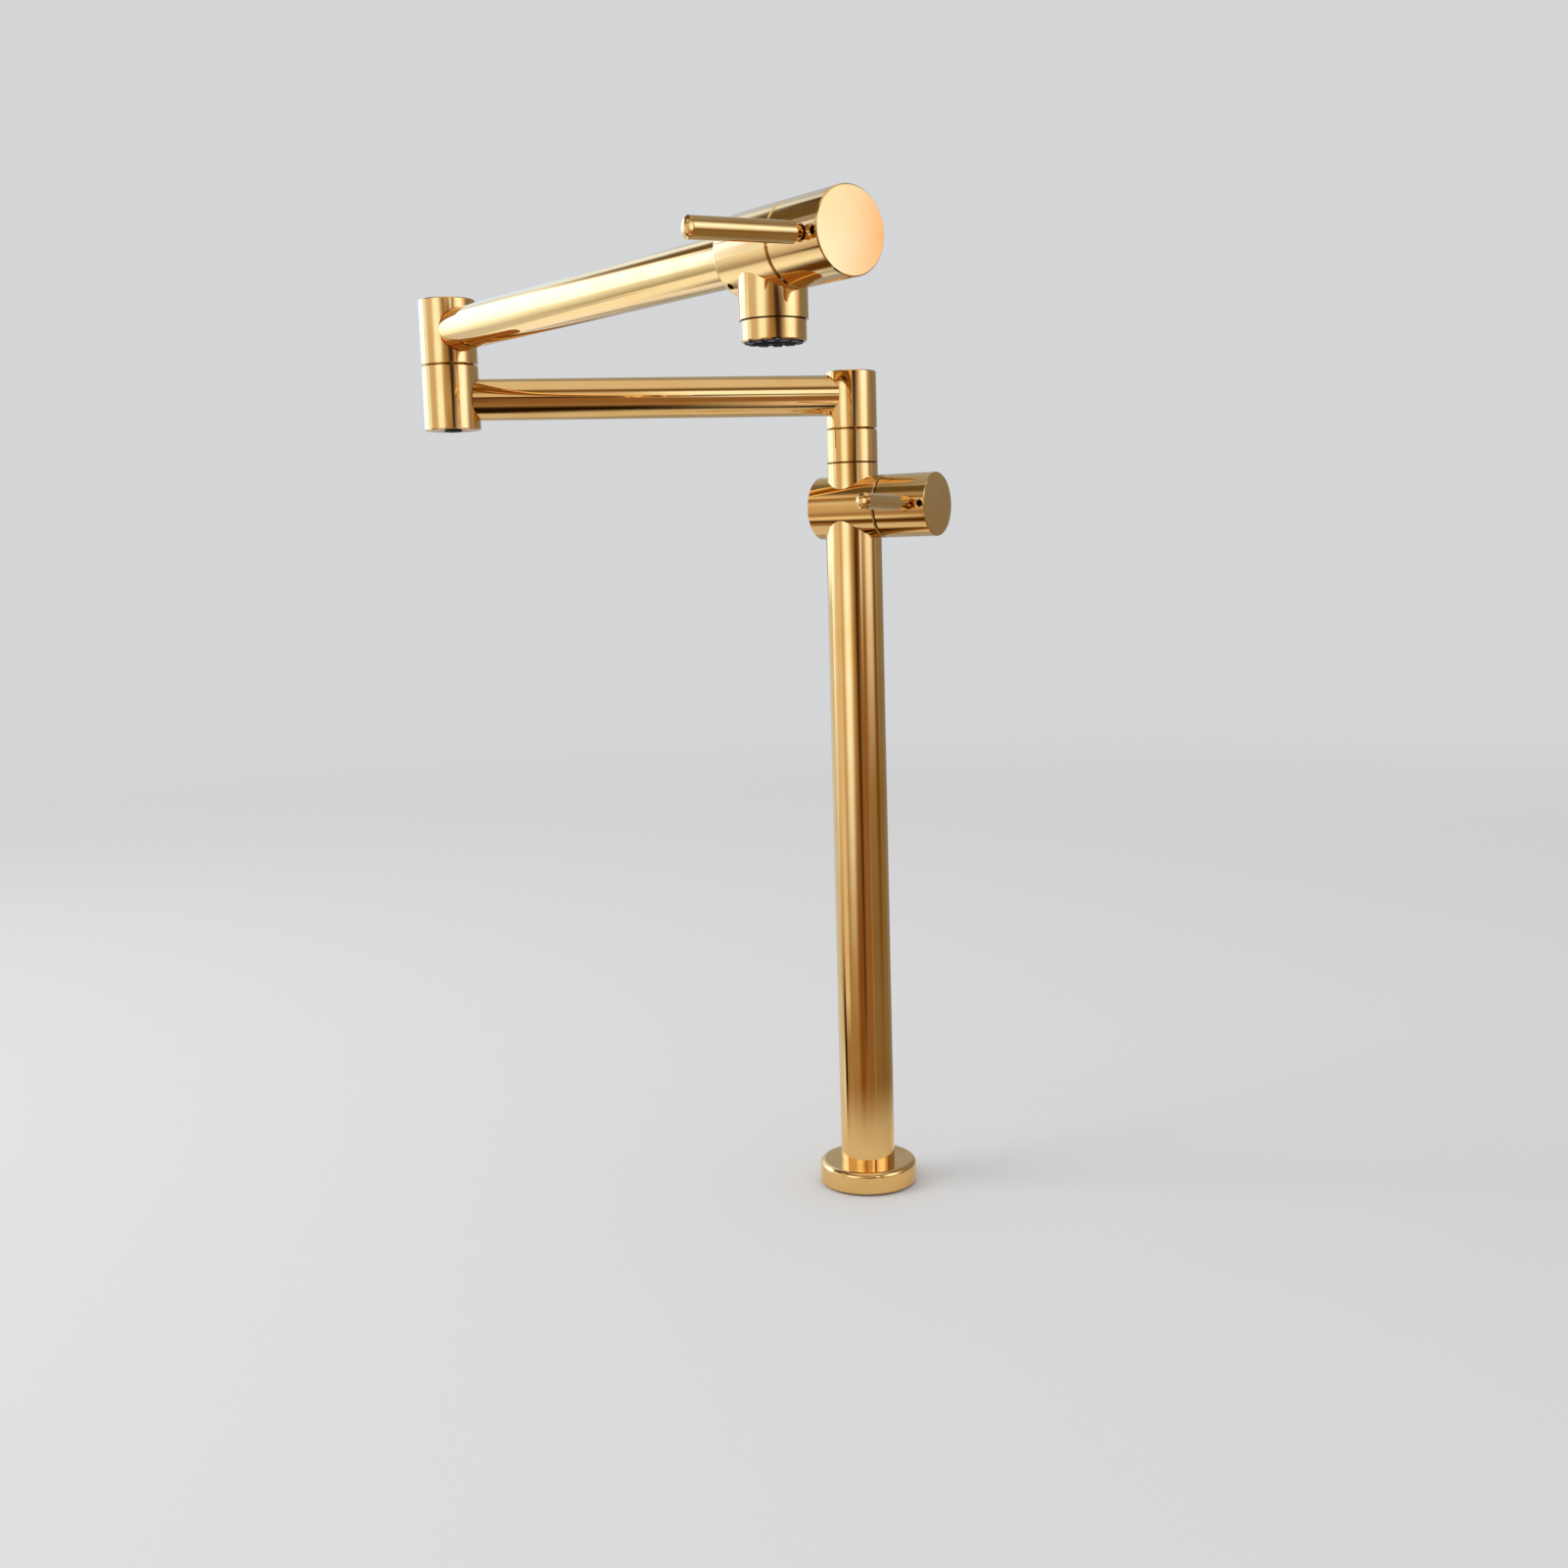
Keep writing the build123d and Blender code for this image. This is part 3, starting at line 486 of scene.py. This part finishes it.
class FAUCET_OT_swivels(bpy.types.Operator):
    """Finish the two swivels: posts, sealing rings, bearings and screws"""

    bl_idname = "faucet.swivels"
    bl_label = "Swivels"

    def execute(self, context):
        look = context.scene.faucet_finish
        rubber = moulded("rubber_rings", look.rubber, *SEAL)
        bearing = moulded("bearing_plastic", look.bearing, *THRUST_WASHER)
        for name, post, rings in (
            ("riser_swivel", "riser_swivel_post", "riser_post_rings"),
            ("elbow_swivel", "elbow_post", "elbow_post_rings"),
        ):
            centre = joint_line(name)[0]
            dress(post, turned_metal(f"brass_{post}", look.brass, BRASS_ROUGHNESS, centre, UP))
            dress(rings, rubber)
        dress("collar_thrust_washer", bearing)
        dark = moulded("bearing_dark", look.plastic, *BEARING_RING)
        for node in ("collar_bearing", "elbow_bearing"):
            dress(node, dark)
        # Partly painted shade: the elbow screw's steel is near black for the shade below the elbow.
        centre = joint_line("elbow_swivel")[0]
        black = turned_metal("black_shaded_elbow_screw", look.black_steel, ELBOW_SCREW_ROUGHNESS, centre, UP)
        dress("elbow_screw", black)
        # Partly painted shade: the tube's lock screw is near black for the shade in its hole.
        line = joint_line("upper_valve_turn")
        dress("tube_lock_screw", turned_metal("black_shaded_tube_screw", look.black_steel, SCREW_ROUGHNESS, *line))
        return {"FINISHED"}


class FAUCET_OT_outlet(bpy.types.Operator):
    """Finish the aerator's insert and seal"""

    bl_idname = "faucet.outlet"
    bl_label = "Outlet"

    def execute(self, context):
        look = context.scene.faucet_finish
        dress("aerator_insert", moulded("plastic_aerator", look.plastic, *AERATOR_INSERT))
        dress("aerator_seal", moulded("rubber_aerator", look.rubber, *SEAL))
        return {"FINISHED"}


# Threaded shank


class ShankSettings(bpy.types.PropertyGroup):
    """Threads of the shank that goes through the worktop."""

    pitch: bpy.props.FloatProperty(
        name="Shank pitch", description="Pitch of the clamp nut's thread",
        subtype="DISTANCE", unit="LENGTH", default=0.0015, min=0.0005, max=0.004,
    )
    depth: bpy.props.FloatProperty(
        name="Shank thread depth", description="Crest to root of the clamp nut's thread",
        subtype="DISTANCE", unit="LENGTH", default=0.0009, min=0.0001, max=0.003,
    )
    inlet_pitch: bpy.props.FloatProperty(
        name="Inlet pitch", description="Pitch of the half inch pipe thread",
        subtype="DISTANCE", unit="LENGTH", default=0.001814, min=0.0005, max=0.004,
    )
    inlet_depth: bpy.props.FloatProperty(
        name="Inlet thread depth", description="Crest to root of the pipe thread",
        subtype="DISTANCE", unit="LENGTH", default=0.00116, min=0.0001, max=0.003,
    )
    chamfer: bpy.props.FloatProperty(
        name="Thread start", description="Chamfer at the lower end of each thread",
        subtype="DISTANCE", unit="LENGTH", default=0.0012, min=0.0001, max=0.004,
    )
    steps_round: bpy.props.IntProperty(
        name="Steps round", description="Faces round the shank", default=96, min=24, max=360,
    )
    steps_pitch: bpy.props.IntProperty(
        name="Steps in a pitch", description="Rows of faces along one turn of thread",
        default=12, min=4, max=32,
    )


# The shank's radii and heights in the CAD, metres
SHANK_RADIUS = 0.0132
SHANK_HEAD_RADIUS = 0.01395
SHANK_BORE_RADIUS = 0.007
INLET_RADIUS = 0.01048
SHANK_SHOULDER = 0.0045
THREAD_TOP = -0.003
SHANK_FOOT = -0.062                     # where the rod ends and the thinner inlet begins

FLANK_STEEPNESS = 1.5                   # over 1, which leaves flats at crest and root
SHARP_ANGLE = math.radians(50)          # edges between faces that differ by more are sharp


def thread(height, turn, radius, low, high, pitch, depth, chamfer):
    """Radius of a threaded rod at each height and angle.

    The wave is the cosine of 2 pi times (height over pitch, less angle over 2 pi), steepened by a factor and
    cut off at 1 and -1, so crest and root are flat. Half of 1 less the wave, times depth, comes off the rod.
    It fades out over one pitch below the top, and a cone at the lower end takes off what stands outside it.
    """
    wave = np.clip(FLANK_STEEPNESS * np.cos(2 * math.pi * height / pitch - turn), -1.0, 1.0)
    fade = np.clip((high - height) / pitch, 0.0, 1.0)
    cone = radius - chamfer + np.maximum(height - low, 0.0)
    return np.minimum(radius - fade * depth * (1.0 - wave) / 2, cone)


def threaded_shank(shank):
    """The shank with both its threads and its bore, as one closed surface turned about Z.

    A grid runs up the outside and down the bore in one direction and round the axis in the other. Each
    point is (radius cos turn, radius sin turn, height), with the radius from the thread's formula where
    there is a thread.
    """
    low, high = (corner.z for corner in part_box("mounting_shank"))
    inlet_rows = int((SHANK_FOOT - low) / shank.inlet_pitch * shank.steps_pitch)
    shank_rows = int((THREAD_TOP - SHANK_FOOT) / shank.pitch * shank.steps_pitch)
    inlet = np.linspace(low, SHANK_FOOT, inlet_rows)
    rod = np.linspace(SHANK_FOOT, THREAD_TOP, shank_rows)
    plain = np.array([
        (SHANK_RADIUS, SHANK_SHOULDER),
        (SHANK_HEAD_RADIUS, SHANK_SHOULDER),
        (SHANK_HEAD_RADIUS, high),
        (SHANK_BORE_RADIUS, high),
        (SHANK_BORE_RADIUS, low),
    ])
    turns = np.linspace(0, 2 * math.pi, shank.steps_round, endpoint=False)
    height, turn = np.meshgrid(np.concatenate([inlet, rod, plain[:, 1]]), turns, indexing="ij")
    on_inlet, on_rod = slice(None, inlet_rows), slice(inlet_rows, -len(plain))
    radius = np.concatenate([
        thread(
            height[on_inlet], turn[on_inlet], INLET_RADIUS, low, SHANK_FOOT,
            shank.inlet_pitch, shank.inlet_depth, shank.chamfer,
        ),
        thread(
            height[on_rod], turn[on_rod], SHANK_RADIUS, SHANK_FOOT, THREAD_TOP,
            shank.pitch, shank.depth, shank.chamfer,
        ),
        np.repeat(plain[:, :1], shank.steps_round, axis=1),
    ])
    points = np.stack([radius * np.cos(turn), radius * np.sin(turn), height], -1)
    piece = grid_mesh("threaded_shank", points, closed_rows=True, closed_columns=True, flip=True)
    piece.data.set_sharp_from_angle(angle=SHARP_ANGLE)
    return piece


def worktop_fastening(context):
    """Dress the pieces above and below the worktop."""
    look = context.scene.faucet_finish
    rubber = moulded("rubber_gaskets", look.rubber, *GASKET)
    for node in ("deck_gasket", "under_deck_gasket"):
        dress(node, rubber)
    centre = Vector((0.0, 0.0, 0.0))
    steel = turned_metal("steel_washer", look.steel, CLAMP_WASHER_ROUGHNESS, centre, UP)
    dress("under_deck_washer", steel)
    brass = turned_metal("brass_nut", look.brass, NUT_ROUGHNESS, centre, UP)
    dress("lock_nut", brass)
    shank = threaded_shank(context.scene.faucet_shank)
    shank.data.materials.append(brass)
    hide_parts("mounting_shank")
    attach(shank, "base")


class FAUCET_OT_fastening(bpy.types.Operator):
    """Finish the gaskets, the clamp washer, the nut and the shank"""

    bl_idname = "faucet.fastening"
    bl_label = "Worktop fastening"

    def execute(self, context):
        worktop_fastening(context)
        return {"FINISHED"}


# Stage


class StageSettings(bpy.types.PropertyGroup):
    """Floor, background and light."""

    floor: bpy.props.FloatVectorProperty(
        name="Floor", description="Colour of the floor",
        subtype="COLOR", size=3, default=(0.80, 0.80, 0.80), min=0.0, max=1.0,
    )
    background: bpy.props.FloatVectorProperty(
        name="Background", description="Colour behind the faucet",
        subtype="COLOR", size=3, default=(0.66, 0.67, 0.68), min=0.0, max=1.0,
    )
    surround: bpy.props.FloatVectorProperty(
        name="Surround", description="Colour between the cards that the metal reflects",
        subtype="COLOR", size=3, default=(0.76, 0.74, 0.76), min=0.0, max=1.0,
    )
    daylight: bpy.props.FloatProperty(
        name="Daylight", description="Strength of the even light from all round",
        default=0.72, min=0.0, max=4.0,
    )
    key_power: bpy.props.FloatProperty(
        name="Key lamp", description="Power of the large soft lamp on the left",
        subtype="POWER", unit="POWER", default=14.0, min=0.0, max=500.0,
    )
    floor_radius: bpy.props.FloatProperty(
        name="Floor radius", description="Radius of the round floor",
        subtype="DISTANCE", unit="LENGTH", default=3.0, min=0.5, max=20.0,
    )
    dome_radius: bpy.props.FloatProperty(
        name="Studio radius", description="Radius of the dome of cards that the metal reflects",
        subtype="DISTANCE", unit="LENGTH", default=3.0, min=1.5, max=30.0,
    )


# What stands round the faucet in the studio, as directions from the faucet in degrees. Azimuth is 0 towards
# the camera and grows to the right of the picture, elevation is 0 at the level and grows upward. A later card
# covers an earlier one: name, azimuth from and to, elevation from and to, soft edge, colour.
STUDIO_CARDS = (
    ("back wall", 133, 262, -63, 72, 5.2, (0.39, 0.41, 0.43)),
    ("right wall", 70, 158, -62, 67, 30, (0.26, 0.25, 0.24)),
    ("front wall", -74, 98, -14, 7, 13.9, (0.65, 0.56, 0.44)),
    ("upper left flag", -134, -56, 20, 61, 11.5, (0.15, 0.11, 0.06)),
    ("upper front flag", -51, 60, 30, 48, 16.5, (0.19, 0.12, 0.04)),
    ("left wide box", -167, -135, -12, 36, 28.8, (0.84, 1.09, 1.43)),
    ("left soft box", -136, -97, -2, 29, 4.9, (1.52, 1.93, 3.45)),
    ("left lower box", -145, -99, -12, 3, 26.9, (1.42, 1.77, 2.17)),
    ("left low strip", -150, -95, -41, -22, 4.5, (1.07, 1.22, 1.43)),
    ("low front card", -99, 115, -90, -14, 21.6, (0.36, 0.24, 0.14)),
    ("low right card", 31, 127, -63, -7, 20.9, (0.25, 0.19, 0.11)),
    ("low black flag", -20, 62, -88, -45, 19.3, (0.02, 0.01, 0.00)),
    ("low left card", -173, -80, -88, -53, 1.5, (0.69, 0.68, 0.71)),
    ("front soft box", -49, -23, -13, 20, 17.3, (1.15, 1.45, 1.86)),
    ("front brown card", -13, 9, -27, 16, 16.5, (0.33, 0.21, 0.10)),
    ("front black flag", 3, 36, -17, 21, 9.3, (0.06, 0.03, 0.02)),
    ("front tan card", 31, 33, -54, 6, 24.4, (2.12, 2.01, 2.05)),
    ("front upper strip", -2, 28, 10, 23, 1.5, (0.78, 0.68, 0.61)),
    ("right soft box", 44, 83, -1, 34, 22.4, (1.39, 1.67, 2.27)),
    ("right brown flag", 75, 94, -19, 7, 20.3, (0.16, 0.07, 0.01)),
    ("low left flag", -75, -61, -62, -38, 5.6, (0.09, 0.04, 0.00)),
    ("low left strip", -67, -62, -39, -28, 13, (1.26, 1.28, 1.28)),
    ("far low flag", -141, -106, -46, -37, 7.2, (0.11, 0.05, 0.01)),
    ("upper narrow flag", -103, -92, 23, 40, 1.6, (0.38, 0.39, 0.43)),
    ("left upper strip", -135, -110, 28, 32, 7.1, (2.59, 3.19, 3.95)),
    ("left front box", -96, -80, -1, 10, 2.8, (0.97, 1.25, 1.62)),
    ("upper front box", -78, -63, 28, 37, 16.7, (1.33, 1.25, 1.21)),
    ("far upper strip", -153, -136, 31, 44, 13.2, (1.03, 1.32, 1.71)),
    ("low brown flag", 8, 41, -31, 1, 12.4, (0.28, 0.16, 0.08)),
    ("front narrow flag", -3, 9, -22, 1, 4.9, (0.07, 0.04, 0.02)),
    ("front upper card", -20, 9, 5, 7, 3.6, (0.55, 0.45, 0.30)),
    ("far left strip", -164, -150, -11, 2, 4.2, (0.31, 0.17, 0.00)),
    ("right upper box", 18, 28, 10, 29, 3.3, (1.13, 1.43, 1.84)),
    ("front small card", 21, 24, -2, 2, 12.7, (2.13, 2.63, 3.07)),
    ("front low flag", -24, 1, -33, -12, 16.8, (0.23, 0.10, 0.03)),
    ("left low card", -162, -111, -26, -2, 1.6, (0.69, 0.76, 0.88)),
    ("right upper card", 76, 92, 9, 34, 2, (0.75, 0.62, 0.61)),
    ("left small flag", -99, -86, -31, -19, 3.2, (0.03, 0.02, 0.00)),
    ("upper left edge", -141, -128, 43, 49, 4.5, (0.09, 0.07, 0.05)),
    ("left middle card", -87, -64, -21, 2, 1.6, (0.80, 0.74, 0.71)),
    ("far low strip", -165, -143, -37, -31, 9.5, (0.91, 1.02, 1.27)),
    ("right cream card", 71, 80, 8, 15, 2, (1.15, 1.47, 2.20)),
    ("right peach card", 76, 84, 8, 15, 3, (1.10, 0.86, 0.92)),
)

DOME_ROWS, DOME_COLUMNS = 181, 361      # a point at each degree
DOME_HEIGHT = 0.8                       # of its centre, as a share of the faucet's height
DOME_PAINT = "studio_light"

FLOOR_RINGS, FLOOR_SPOKES = 25, 96
FLOOR_FADE = (0.35, 0.95)               # shares of its radius between which it fades into the background
FLOOR_MIRRORED = (0.06, 0.22)           # metres from the riser's axis between which mirror rays lose it

LAMP_PLACE = (-1.3, -1.1, 1.6)
LAMP_TARGET = (0.0, -0.05, 0.3)
LAMP_SIZE = 1.2


def card_mask(azimuth, elevation, left, right, low, high, soft):
    """How much of a card shows in each direction, from 0 to 1.

    Across and up, the distance inside the nearer edge is divided by the soft edge, and a half is added. That
    is kept from 0 to 1 and smoothed as 3 t squared less 2 t cubed. The mask is the product of the two.
    """
    middle, half = (left + right) / 2, (right - left) / 2
    aside = np.abs((azimuth - middle + 180.0) % 360.0 - 180.0)
    across = np.clip((half - aside) / soft + 0.5, 0.0, 1.0)
    upward = np.clip(np.minimum(elevation - low, high - elevation) / soft + 0.5, 0.0, 1.0)
    return across**2 * (3 - 2 * across) * upward**2 * (3 - 2 * upward)


def studio_dome(stage):
    """A sphere round the faucet whose inside carries the studio's cards. Only mirror rays see it.

    A point is radius times (cos e cos a, cos e sin a, sin e) for azimuth a and elevation e, from a centre on
    the Z axis, and its colour starts as the surround and is mixed with each card in turn by that card's mask.
    """
    elevation, azimuth = np.meshgrid(
        np.linspace(-90, 90, DOME_ROWS), np.linspace(-180, 180, DOME_COLUMNS), indexing="ij"
    )
    colour = np.ones((*azimuth.shape, 3)) * np.array(stage.surround)
    for _, left, right, low, high, soft, shade in STUDIO_CARDS:
        mask = card_mask(azimuth, elevation, left, right, low, high, soft)[..., None]
        colour = colour * (1 - mask) + np.array(shade) * mask
    camera_azimuth = math.atan2(CAMERA_PLACE[1], CAMERA_PLACE[0])
    a, e = np.radians(azimuth) + camera_azimuth, np.radians(elevation)
    points = np.stack([np.cos(e) * np.cos(a), np.cos(e) * np.sin(a), np.sin(e)], -1) * stage.dome_radius
    points[..., 2] += cad_box[1].z * DOME_HEIGHT
    dome = grid_mesh("studio_dome", points)
    layer = dome.data.color_attributes.new(DOME_PAINT, "FLOAT_COLOR", "POINT")
    layer.data.foreach_set("color", np.dstack([colour, np.ones_like(azimuth)]).astype(np.float32).ravel())
    material, tree = new_material("studio_light")
    paint = tree.out(tree.node("ShaderNodeAttribute", {"attribute_name": DOME_PAINT}), "Color")
    tree.show(tree.out(tree.node("ShaderNodeEmission", sockets={"Color": paint})))
    dome.data.materials.append(material)
    for ray in ("camera", "diffuse", "shadow", "transmission", "volume_scatter"):
        setattr(dome, f"visible_{ray}", False)


def studio_floor(stage):
    """A round floor at the worktop's height: rings of points, each radius times (cos a, sin a).

    It fades into the background at its rim, and for the metal's reflections just outside the flange, where
    the dome takes over.
    """
    radius, turn = np.meshgrid(
        np.linspace(0.0, 1.0, FLOOR_RINGS) ** 2 * stage.floor_radius,
        np.linspace(0, 2 * math.pi, FLOOR_SPOKES, endpoint=False),
        indexing="ij",
    )
    points = np.stack([radius * np.cos(turn), radius * np.sin(turn), np.zeros_like(radius)], -1)
    floor = grid_mesh("studio_floor", points, closed_columns=True)
    material, tree = new_material("floor_pale")
    x, y, _ = tree.split(tree.place())
    from_riser = (x * x + y * y) ** 0.5
    rays = tree.node("ShaderNodeLightPath")
    rim = from_riser.steps(*(share * stage.floor_radius for share in FLOOR_FADE))
    unseen = tree.out(rays, "Is Glossy Ray") * from_riser.steps(*FLOOR_MIRRORED)
    matt = tree.out(tree.node("ShaderNodeBsdfDiffuse", sockets={"Color": as_colour(stage.floor)}))
    clear = tree.out(tree.node("ShaderNodeBsdfTransparent"))
    shown = tree.node("ShaderNodeMixShader", sockets={0: rim.larger(unseen), 1: matt, 2: clear})
    tree.show(tree.out(shown))
    floor.data.materials.append(material)


def studio_world(stage):
    """An even sky: the background's colour for eyes and mirrors, and white daylight for what it lights."""
    world = bpy.data.worlds.new("studio")
    bpy.context.scene.world = world
    tree = Tree(world)
    seen = tree.out(tree.node("ShaderNodeBackground", sockets={"Color": as_colour(stage.background)}))
    daylight = {"Color": as_colour(WHITE), "Strength": stage.daylight}
    light = tree.node("ShaderNodeBackground", sockets=daylight)
    rays = tree.node("ShaderNodeLightPath")
    direct = tree.out(rays, "Is Camera Ray").larger(tree.out(rays, "Is Glossy Ray"))
    direct = direct.larger(tree.out(rays, "Is Transmission Ray"))
    both = tree.node("ShaderNodeMixShader", sockets={0: direct, 1: tree.out(light), 2: seen})
    tree.show(tree.out(both), "ShaderNodeOutputWorld")


def soft_lamp(name, place, target, size, power):
    """A large square lamp that the metal doesn't mirror, because the dome shows its soft box."""
    light = bpy.data.lights.new(name, "AREA")
    light.shape = "SQUARE"
    light.size = size
    light.energy = power
    lamp = bpy.data.objects.new(name, light)
    lamp.location = place
    lamp.rotation_mode = "QUATERNION"
    lamp.rotation_quaternion = (Vector(target) - Vector(place)).to_track_quat("-Z", "Y")
    lamp.visible_glossy = False
    bpy.context.scene.collection.objects.link(lamp)


def photo_camera():
    """The camera at the photograph's place: its axes from yaw, pitch and roll, and its lens from the fit."""
    forward = Vector((
        -math.sin(CAMERA_YAW) * math.cos(CAMERA_PITCH),
        math.cos(CAMERA_YAW) * math.cos(CAMERA_PITCH),
        math.sin(CAMERA_PITCH),
    ))
    level = Vector((math.cos(CAMERA_YAW), math.sin(CAMERA_YAW), 0.0))
    upright = level.cross(forward)
    right = math.cos(CAMERA_ROLL) * level + math.sin(CAMERA_ROLL) * upright
    up = -math.sin(CAMERA_ROLL) * level + math.cos(CAMERA_ROLL) * upright
    data = bpy.data.cameras.new("photo_camera")
    data.sensor_fit = "HORIZONTAL"
    data.sensor_width = SENSOR
    data.lens = FOCAL_PIXELS / PICTURE_PIXELS * SENSOR
    data.clip_start = CLIP_NEAR
    data.clip_end = CLIP_FAR
    camera = bpy.data.objects.new("photo_camera", data)
    turn = Matrix((right, up, -forward)).transposed().to_4x4()
    camera.matrix_world = Matrix.Translation(CAMERA_PLACE) @ turn
    bpy.context.scene.collection.objects.link(camera)
    bpy.context.scene.camera = camera


class FAUCET_OT_stage(bpy.types.Operator):
    """Set up the camera, the floor, the background and the light"""

    bl_idname = "faucet.stage"
    bl_label = "Stage"

    def execute(self, context):
        stage = context.scene.faucet_stage
        photo_camera()
        studio_floor(stage)
        studio_dome(stage)
        studio_world(stage)
        soft_lamp("key_lamp", LAMP_PLACE, LAMP_TARGET, LAMP_SIZE, stage.key_power)
        context.scene.view_settings.view_transform = "Standard"
        return {"FINISHED"}


OPERATORS = (
    FAUCET_OT_gold,
    FAUCET_OT_valve_insides,
    FAUCET_OT_swivels,
    FAUCET_OT_outlet,
    FAUCET_OT_fastening,
    FAUCET_OT_stage,
)


class FAUCET_PT_panel(bpy.types.Panel):
    """Lists the faucet's settings and operators"""

    bl_idname = "FAUCET_PT_panel"
    bl_label = "Pot filler faucet"
    bl_space_type = "VIEW_3D"
    bl_region_type = "UI"
    bl_category = "Faucet"

    def draw(self, context):
        for group in (context.scene.faucet_finish, context.scene.faucet_shank, context.scene.faucet_stage):
            box = self.layout.box()
            for name in group.__annotations__:
                box.prop(group, name)
        for operator in OPERATORS:
            self.layout.operator(operator.bl_idname)


GROUPS = {"faucet_finish": FinishSettings, "faucet_shank": ShankSettings, "faucet_stage": StageSettings}
CLASSES = (*GROUPS.values(), *OPERATORS, FAUCET_PT_panel)


def register():
    for each in CLASSES:
        bpy.utils.register_class(each)
    for name, group in GROUPS.items():
        setattr(bpy.types.Scene, name, bpy.props.PointerProperty(type=group))


def unregister():
    for name in GROUPS:
        delattr(bpy.types.Scene, name)
    for each in reversed(CLASSES):
        bpy.utils.unregister_class(each)


def main():
    register()
    for operator in OPERATORS:
        group, name = operator.bl_idname.split(".")
        getattr(getattr(bpy.ops, group), name)()


if __name__ == "__main__":
    main()
